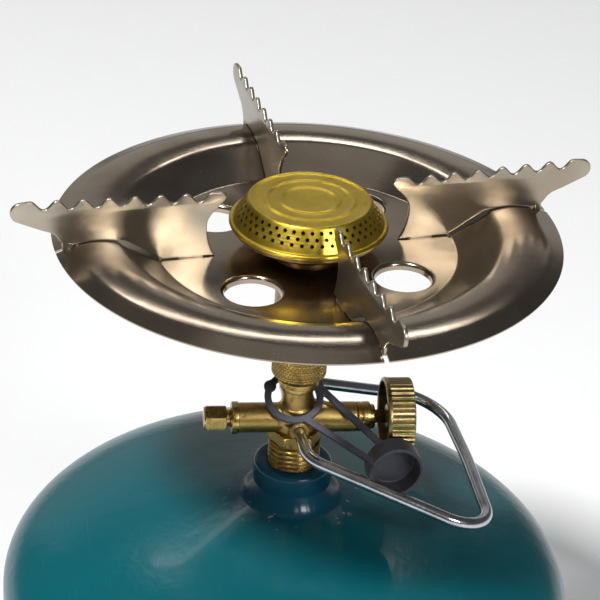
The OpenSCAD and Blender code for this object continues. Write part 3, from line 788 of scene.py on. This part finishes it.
def buildDustCap():
    cap = {"strap": 1.8, "width": 2.9, "loopR": 10.7, "lugR": 2.6, "mouth": (38.8, -27, -10.3), "swing": 6,
           "outR": 11.5, "inR": 9.8, "depth": 9.7, "floor": 1.5, "voxel": 0.30}
    plane = shift(-1.3, 0, 9.6) @ turn(29, "X") @ shift(0, 0, -cap["strap"] / 2)
    loopIn, loopOut = cap["loopR"] - cap["width"] / 2, cap["loopR"] + cap["width"] / 2
    loop = [(loopIn, 0), (loopOut, 0), (loopOut, cap["strap"]), (loopIn, cap["strap"])]
    inside = cap["depth"] - cap["floor"]
    cup = [(0, inside), (cap["inR"], inside), (cap["inR"], 0), (cap["outR"], 0), (cap["outR"], cap["depth"]),
           (0, cap["depth"])]
    cup = roundCorners(cup, [0, 0.8, 0.3, 0.3, 1.4, 0], 5, closed=False)
    cupPlace = shift(*cap["mouth"]) @ turn(cap["swing"], "Z") @ turn(-90, "X")
    parts = [
        moved(lathe(loop, 128), plane),
        moved(rod(cap["lugR"], 0, cap["strap"]), plane @ shift(-9.5, 5.2, 0)),
        moved(rod(cap["lugR"], 0, cap["strap"]), plane @ shift(10, 5.8, 0)),
        moved(prism(strip((4.4, -10.3), (31.3, -31.2), cap["width"]), cap["strap"]), plane),
        moved(prism(strip((9.6, 6), (34.4, -22.6), cap["width"]), cap["strap"]), plane)]
    strap = newObject("strap_rough", *parts)
    hollow = moved(rod(cap["inR"] + 0.2, -3, inside + 0.2), cupPlace)
    joined = remeshed(strap, cap["voxel"], 1)
    cut(joined, hollow)
    shell = newObject("cup_rough", moved(lathe(cup, 160, closed=False), cupPlace))
    bm = bmesh.new()
    bm.from_mesh(joined.data)
    bm.from_mesh(shell.data)
    bpy.data.objects.remove(joined)
    bpy.data.objects.remove(shell)
    rubber = meshObject("strapped_dust_cap", bm)
    remeshed(rubber, cap["voxel"], 7)
    settle(rubber, atValve, greyRubber, "bottle", ["dust_cap"], 180)


def buildSleeve():
    sleeve = {"low": -62.2, "top": -40.0, "r": 11.2, "bore": 6.95, "footR": 8.4, "webLow": -50.2,
              "webTop": -45.2, "jet": 2.5, "spigot": 9.8, "knurlLow": -57.0, "knurlTop": -41.0,
              "knurlRows": 72, "diamonds": 44, "diamondLength": 2.1, "depth": 0.42}
    low, bore, footR = sleeve["low"], sleeve["bore"], sleeve["footR"]
    rows = [(bore, low + 0.3), (bore + 0.3, low), (footR - 0.3, low), (footR, low + 0.3), (footR, low + 2.2)]
    rows += smoothCurve([(footR + 0.15, low + 2.45), (9.4, low + 3.2), (10.5, low + 4.1),
                         (sleeve["r"] - 0.15, low + 5.15)], 4)
    count = sleeve["knurlRows"]
    rise = (sleeve["knurlTop"] - sleeve["knurlLow"]) / count
    rows += [(sleeve["r"], sleeve["knurlLow"] + rise * i) for i in range(count + 1)]
    rows += [(sleeve["r"] - 0.3, sleeve["knurlTop"] + 0.25), (sleeve["r"] - 0.8, sleeve["top"]),
             (sleeve["spigot"], sleeve["top"]), (sleeve["spigot"], sleeve["webTop"]),
             (sleeve["jet"], sleeve["webTop"]), (sleeve["jet"], sleeve["webLow"]), (bore, sleeve["webLow"])]

    def knurled(angle, r, z):
        if abs(r - sleeve["r"]) > 1e-6:
            return r
        around = angle * sleeve["diamonds"] / (2 * math.pi)
        along = z / sleeve["diamondLength"]
        height = min(1 - abs(2 * ((around + slant * along) % 1) - 1) for slant in (1, -1))
        return r - sleeve["depth"] * (1 - min(1, height * 2.2))

    grip = newObject("knurled_coupling", lathe(rows, sleeve["diamonds"] * 8, shape=knurled))
    settle(grip, atBurner, shadedTurnedBrass, "burner", ["coupling_sleeve"], 28)


def buildMixingTube():
    tube = {"r": 11.5, "bore": 10.2, "spigotR": 9.78, "top": tubeTop, "low": -45.1, "step": -39.98,
            "intakeR": 4.0, "intakeZ": -31.0}
    corners = [(8.6, tube["low"]), (tube["spigotR"], tube["low"]), (tube["spigotR"], tube["step"]),
               (tube["r"], tube["step"]), (tube["r"], tube["top"]), (tube["bore"], tube["top"]),
               (tube["bore"], -37), (8.6, -40)]
    rows = roundCorners(corners, [0.2, 0.2, 0, 0.5, 0.3, 0.2, 0.3, 0.3], 4)
    pipe = newObject("mixing_pipe", lathe(rows, 128))
    level = shift(0, 0, tube["intakeZ"])
    cut(pipe, *(moved(rod(tube["intakeR"], -20, 20), level @ turn(angle, "Z") @ turn(90, "X"))
                for angle in (45, 135)))
    settle(pipe, atBurner, shadedDarkBrass, "burner", ["mixing_tube"], 30)

    nut = {"corner": 17.0, "height": 4.2, "bore": 11.53, "under": 0.82}
    high = -nut["under"]
    low = high - nut["height"]
    rows = [(nut["bore"], low + 0.3), (nut["bore"] + 0.3, low)]
    rows += hexRows(low, high, nut["corner"], 0.9) + [(nut["bore"], high)]
    lock = newObject("dish_clamp_nut", lathe(rows, 192, shape=hexOnly(low, high, nut["corner"])))
    settle(lock, atBurner, bladeNickel, "burner", ["dish_locknut"])


def sheetMetal(name, bm, thickness):
    bmesh.ops.remove_doubles(bm, verts=bm.verts, dist=0.002)
    bmesh.ops.recalc_face_normals(bm, faces=bm.faces)
    up = sum(f.normal.z * f.calc_area() for f in bm.faces)
    if up < 0:
        bmesh.ops.reverse_faces(bm, faces=bm.faces)
    obj = meshObject(name, bm)
    modifier = obj.modifiers.new("gauge", "SOLIDIFY")
    modifier.thickness = thickness
    modifier.offset = -1
    modifier.use_even_offset = True
    modifier.use_quality_normals = True
    return applied(obj)


def flatSheet(bm, loops, keep, lift):
    points, edges = [], []
    for loop in loops:
        base = len(points)
        points += [Vector(p) for p in loop]
        edges += [(base + i, base + (i + 1) % len(loop)) for i in range(len(loop))]
    made, _, faces, _, _, _ = geometry.delaunay_2d_cdt(points, edges, [], 0, 1e-5)
    verts = [bm.verts.new(lift(p)) for p in made]
    for face in faces:
        corners = [made[i] for i in face]
        if keep(sum(corners, Vector((0, 0))) / len(corners)):
            bm.faces.new([verts[i] for i in face])
    loose = [v for v in verts if not v.link_faces]
    bmesh.ops.delete(bm, geom=loose, context="VERTS")


# The dish's crown in section, followed by the lower edge of the supports
crownR, crownH, crownBend = 84.3, 10.7, 33.9
crownHub = (crownR, crownH - crownBend)


def buildDish():
    dish = {"r": dishR, "floorR": 59.1, "crownHalf": 16.0, "sheet": 0.8, "bore": 11.6, "airR": 11.0,
            "airRing": 42.5, "lipR": 1.7, "lipDrop": 3.2, "slotIn": 42.0, "slotOut": 52.0,
            "slotHalf": 1.0, "slitFrom": 93.8, "segments": 344}
    segments = dish["segments"]
    start = -math.pi / segments
    flatR = dish["floorR"] - 1.2

    def circle(r, count, centre=(0, 0), first=0.0):
        return [(centre[0] + r * math.cos(first + 2 * math.pi * i / count),
                 centre[1] + r * math.sin(first + 2 * math.pi * i / count)) for i in range(count)]

    def spun(point, degrees):
        x, y = point
        a = math.radians(degrees)
        return (x * math.cos(a) - y * math.sin(a), x * math.sin(a) + y * math.cos(a))

    airHoles = [spun((dish["airRing"], 0), a) for a in (45, 135, 225, 315)]
    mouth = dish["airR"] + dish["lipR"]
    slot = [(dish["slotIn"], -dish["slotHalf"]), (dish["slotOut"], -dish["slotHalf"]),
            (dish["slotOut"], dish["slotHalf"]), (dish["slotIn"], dish["slotHalf"])]
    loops = [circle(flatR, segments, first=start), circle(dish["bore"], 96)]
    loops += [circle(mouth, 72, hole) for hole in airHoles]
    loops += [[spun(p, a) for p in roundCorners(slot, 0.4, 3)] for a in (0, 90, 180, 270)]

    def keep(p):
        if not dish["bore"] < p.length < flatR:
            return False
        if any((p - Vector(hole)).length < mouth for hole in airHoles):
            return False
        for a in (0, -90, -180, -270):
            x, y = spun(p, a)
            if dish["slotIn"] < x < dish["slotOut"] and abs(y) < dish["slotHalf"]:
                return False
        return True

    bm = bmesh.new()
    flatSheet(bm, loops, keep, lambda p: (p.x, p.y, 0))

    wallTop = arc(crownHub, crownBend, 90 + dish["crownHalf"], 90, 1)[0]
    corners = [(flatR - 4, 0), (dish["floorR"] + 0.2, 0), wallTop, (crownR - 4, crownH + 0.1)]
    line = roundCorners(corners, [0, 1.6, 11, 0], 8, closed=False)[1:-1]
    line = [(flatR, 0)] + [p for p in line if p[0] > flatR + 0.05]
    line += arc(crownHub, crownBend, 98, 90 - dish["crownHalf"] + 1, 14)
    skirt = [line[-1], (crownR + 10.6, crownH - 1.9), (dish["r"], crownH - 3.8)]
    outer = roundCorners(skirt, [0, 3, 0], 5, closed=False)[1:]
    bendEnd, rim = Vector(outer[-2]), Vector(outer[-1])
    line += outer[:-1] + [tuple(bendEnd.lerp(rim, t)) for t in (0.25, 0.5, 0.75, 1.0)]
    quarterCount = segments // 4

    def slit(row, s):
        return s % quarterCount == 0 and line[row][0] > dish["slitFrom"]

    wall = lathe(line, segments, closed=False, start=start, skip=slit)
    lips = []
    for hole in airHoles:
        roll = arc((dish["airR"] + dish["lipR"], -dish["lipR"]), dish["lipR"], 90, 180, 7)
        roll += [(dish["airR"], -dish["lipDrop"])]
        lips.append(moved(lathe(roll, 72, closed=False), shift(hole[0], hole[1], 0)))
    plate = sheetMetal("pressed_wind_dish", gather(bm, wall, *lips), dish["sheet"])
    settle(plate, atBurner, dishNickel, "burner", ["wind_dish"], 40)


def buildBurnerHead():
    cup = {"r": 29.75, "rim": 9.9, "throat": 11.53, "neckR": 15, "neckH": 2.2, "wall": 1.2, "floor": 3.6}
    r, rim, throat, neckR = cup["r"], cup["rim"], cup["throat"], cup["neckR"]
    corners = [(throat, 0.02), (neckR, 0.02), (neckR, cup["neckH"]), (r, rim - 1.6), (r, rim),
               (r - cup["wall"], rim), (r - cup["wall"], rim - 0.8), (13.6, cup["floor"]),
               (throat, cup["floor"])]
    rows = roundCorners(corners, [0, 0.5, 0.8, 1.2, 0.3, 0.3, 0.6, 1.0, 0.3], 5)
    bowl = newObject("burner_bowl", lathe(rows, 160))
    settle(bowl, atBurner, shadedDarkBrass, "burner", ["burner_cup"])

    cap = {"r": 31.25, "bead": 1.1, "top": 21.1, "ridge": 0.4, "edge": 23.6, "sheet": 0.8, "holes": 45,
           "holeR": 0.78, "rows": (0.17, 0.45, 0.72), "perHole": 4}
    segments = cap["holes"] * cap["perHole"]
    flat = cap["top"] - cap["ridge"]
    coneTop = Vector((cap["edge"] + 0.9, cap["top"] - 0.75))
    coneLow = Vector((29.35, 12.75))
    slant = (coneLow - coneTop).length
    meanR = (coneTop.x + coneLow.x) / 2
    wide = 2 * math.pi * meanR
    pitch = wide / cap["holes"]
    seam = -pitch / 4

    def onCone(p):
        angle = p.x / meanR
        at = coneTop.lerp(coneLow, p.y / slant)
        return (at.x * math.cos(angle), at.x * math.sin(angle), at.y)

    loops = []
    step = wide / segments
    border = [(seam + step * i, 0) for i in range(segments + 1)]
    border += [(seam + wide, slant * k / 4) for k in (1, 2, 3)]
    border += [(seam + step * i, slant) for i in range(segments, -1, -1)]
    border += [(seam, slant * k / 4) for k in (3, 2, 1)]
    loops.append(border)
    holes = []
    for row, share in enumerate(cap["rows"]):
        at = share * slant
        stretch = meanR / coneTop.lerp(coneLow, share).x
        for i in range(cap["holes"]):
            centre = Vector((pitch * (i + (row % 2) * 0.5), at))
            holes.append((centre, stretch))
            loops.append([(centre.x + cap["holeR"] * stretch * math.cos(a),
                           centre.y + cap["holeR"] * math.sin(a))
                          for a in (2 * math.pi * k / 14 for k in range(14))])

    def keep(p):
        for centre, stretch in holes:
            if abs(p.x - centre.x) < 2:
                away = Vector(((p.x - centre.x) / stretch, p.y - centre.y))
                if away.length < cap["holeR"] * 0.97:
                    return False
        return True

    bm = bmesh.new()
    flatSheet(bm, loops, keep, onCone)
    ridges = []
    for at in (11.1, 17.1):
        ridges += [(at + 1.7 * k / 8, flat + cap["ridge"] * (1 + math.cos(math.pi * k / 8)) / 2)
                   for k in range(-8, 9)]
    topRows = [(0, flat), (4, flat), (8, flat)] + ridges
    topRows += [(21.6, flat), (22.5, flat + 0.1), (23.0, cap["top"] - 0.06), (23.4, cap["top"]),
                (23.85, cap["top"] - 0.1), (24.2, cap["top"] - 0.35), tuple(coneTop)]
    seamAngle = seam / meanR
    top = lathe(topRows, segments, closed=False, start=seamAngle)
    centre = (cap["r"] - cap["bead"], 11.1)
    rim = [tuple(coneLow), (29.5, 12.42)] + arc(centre, cap["bead"], 112, -110, 14)
    low = lathe(rim, segments, closed=False, start=seamAngle)
    lid = sheetMetal("perforated_burner_lid", gather(bm, top, low), cap["sheet"])
    settle(lid, atBurner, capBrass, "burner", ["burner_cap"], 42)


def buildSupports():
    blade = {"thickness": 1.5, "edge": 0.42, "start": 39.3, "pitch": 10.0, "teeth": 7, "topZ": 27.4,
             "rise": 0.31, "depth": 3.6, "gap": 0.35, "tabIn": 42.4, "tabOut": 51.6, "tabLow": -4}
    inner = smoothCurve([(37.5, 0.35), (39, 2.5), (40.4, 7), (41.1, 12), (40.7, 15.5), (38.9, 18.6),
                         (36, 21.5), (34.1, 23.8), (33.7, 25.2), (34.6, 26.6), (36.4, 27.2),
                         (39.3, 27.1)], 4)
    tops = []
    for i in range(blade["teeth"]):
        for k in range(1, 17):
            s = k / 16
            height = blade["topZ"] + blade["rise"] * (i + s - 1)
            height -= blade["depth"] * (1 - math.cos(2 * math.pi * s)) / 2
            tops.append((blade["start"] + blade["pitch"] * (i + s), height))
    outer = arc((113, 24.9), 4.1, 90, -60, 12)
    corners = [(115.05, 21.35), (105.1, 16.9), (101.6, 15.6), (99.6, 13.9), (98.2, 11.8), (97.5, 11),
               (97.5, 7.6), (94.9, 7.6), (94.9, 10.4)]
    outer += roundCorners(corners, [0, 4, 4, 3, 2, 0.6, 0.5, 0.5, 0], 4, closed=False)[1:]
    bottom = [(r, crownHub[1] + math.sqrt(crownBend ** 2 - (r - crownR) ** 2) + blade["gap"])
              for r in range(93, 75, -2)]
    gap, tabIn, tabOut, tabLow = blade["gap"], blade["tabIn"], blade["tabOut"], blade["tabLow"]
    corners = [(76, 10.2), (73, 9.9), (59.5, 1.3), (58.1, gap), (tabOut, gap), (tabOut, tabLow),
               (tabIn, tabLow), (tabIn, gap), (41, gap)]
    foot = roundCorners(corners, [0, 6, 1, 0, 0.4, 0.6, 0.6, 0.4, 0], 4, closed=False)[1:-1]
    outline = inner + tops + outer + bottom + foot
    for name, degrees in (("right", 0), ("back", 90), ("left", 180), ("front", 270)):
        curve = bpy.data.curves.new("outline", "CURVE")
        curve.dimensions = "2D"
        curve.fill_mode = "BOTH"
        curve.extrude = blade["thickness"] / 2 - blade["edge"]
        curve.bevel_depth = blade["edge"]
        curve.bevel_resolution = 3
        curve.offset = -blade["edge"]
        spline = curve.splines.new("POLY")
        spline.points.add(len(outline) - 1)
        for point, (x, y) in zip(spline.points, outline):
            point.co = (x, y, 0, 1)
        spline.use_cyclic_u = True
        obj = bpy.data.objects.new("toothed_support_" + name, curve)
        scene.collection.objects.link(obj)
        graph = bpy.context.evaluated_depsgraph_get()
        mesh = bpy.data.meshes.new_from_object(obj.evaluated_get(graph))
        bpy.data.objects.remove(obj)
        bm = bmesh.new()
        bm.from_mesh(mesh)
        bmesh.ops.remove_doubles(bm, verts=bm.verts, dist=0.001)
        plate = newObject("toothed_support_" + name, bm)
        place = atBurner @ turn(degrees, "Z") @ turn(90, "X")
        settle(plate, place, bladeNickel, "support_" + name, ["pot_support_" + name], 28)


buildCylinder()
buildBoss()
print("cylinder and boss made")
buildValve()
buildValveFittings()
buildKnob()
buildBail()
buildDustCap()
print("valve, knob, handle and dust cap made")
buildSleeve()
buildMixingTube()
buildDish()
buildBurnerHead()
buildSupports()
print("burner, dish and supports made")

carried = {
    "relief_piston": turnedBrassX, "relief_seal": blackRubber, "relief_spring": springSteel,
    "valve_seat_pad": sealPlastic, "gland_packing": sealPlastic, "knob_screw": zinc,
    "outlet_washer": blackRubber, "injector_jet": shadedTurnedBrass}
for node, finish in carried.items():
    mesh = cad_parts[node].data
    mesh.materials.clear()
    mesh.materials.append(finish.material)
    mesh.shade_smooth()
    mesh.set_sharp_from_angle(angle=math.radians(35))
print("small carried parts finished")


def buildFloor():
    floor = Finish("paleFloor", Metallic=0.0, Roughness=0.7)
    floor.drive(Base_Color=floor.mix(floor.noise(30, 2), colour(0.86, 0.86, 0.86), colour(0.84, 0.84, 0.84)))
    bm = bmesh.new()
    corners = [(-6000, -6000), (6000, -6000), (6000, 6000), (-6000, 6000)]
    bm.faces.new([bm.verts.new((x, y, 0)) for x, y in corners])
    ground = meshObject("floor", bm)
    ground.data.transform(Matrix.Scale(mm, 4))
    ground.data.materials.append(floor.material)


def softbox(name, position, target, size, power, tint=(1, 1, 1)):
    light = bpy.data.lights.new(name, "AREA")
    light.shape = "RECTANGLE"
    light.size, light.size_y = size
    light.energy = power
    light.color = tint
    obj = bpy.data.objects.new(name, light)
    obj.location = position
    aim = Vector(target) - Vector(position)
    obj.rotation_euler = aim.to_track_quat("-Z", "Y").to_euler()
    scene.collection.objects.link(obj)


def buildLights():
    aim = (0, 0, 0.25)
    softbox("backdrop", (0.0, 3.2, 1.15), (0, 0, 0.6), (4.4, 1.7), 9, (1.0, 0.98, 0.94))
    softbox("ceiling", (0.2, 0.3, 2.8), aim, (2.2, 1.0), 1.6, (1.0, 0.97, 0.93))
    softbox("backStrip", (0.1, 1.45, 1.95), aim, (1.5, 0.14), 6)
    softbox("keyLeft", (-0.95, -0.9, 2.6), aim, (0.42, 0.42), 92)
    softbox("keyRight", (0.92, -1.75, 1.35), aim, (0.5, 0.5), 22, (0.98, 0.99, 1.0))
    world = bpy.data.worlds.new("studio")
    world.use_nodes = True
    world.node_tree.nodes["Background"].inputs["Color"].default_value = colour(0.75, 0.78, 0.82)
    world.node_tree.nodes["Background"].inputs["Strength"].default_value = 0.11
    scene.world = world
    scene.view_settings.view_transform = "Standard"


def buildCamera():
    view = {"position": (-0.1050, -0.7460, 0.6761), "aim": (-0.0014, 0.0, 0.2493),
            "roll": 3.70, "lens": 130.46}
    camera = bpy.data.cameras.new("camera")
    camera.sensor_width = 36
    camera.lens = view["lens"]
    camera.dof.use_dof = False
    camera.clip_start = 0.01
    camera.clip_end = 50
    obj = bpy.data.objects.new("camera", camera)
    back = (Vector(view["position"]) - Vector(view["aim"])).normalized()
    right = Vector((0, 0, 1)).cross(back).normalized()
    up = back.cross(right)
    roll = math.radians(view["roll"])
    x = right * math.cos(roll) + up * math.sin(roll)
    y = up * math.cos(roll) - right * math.sin(roll)
    spin = Matrix((x, y, back)).transposed().to_4x4()
    obj.matrix_world = Matrix.Translation(view["position"]) @ spin
    scene.collection.objects.link(obj)
    scene.camera = obj


buildFloor()
buildLights()
buildCamera()
print("stage ready")
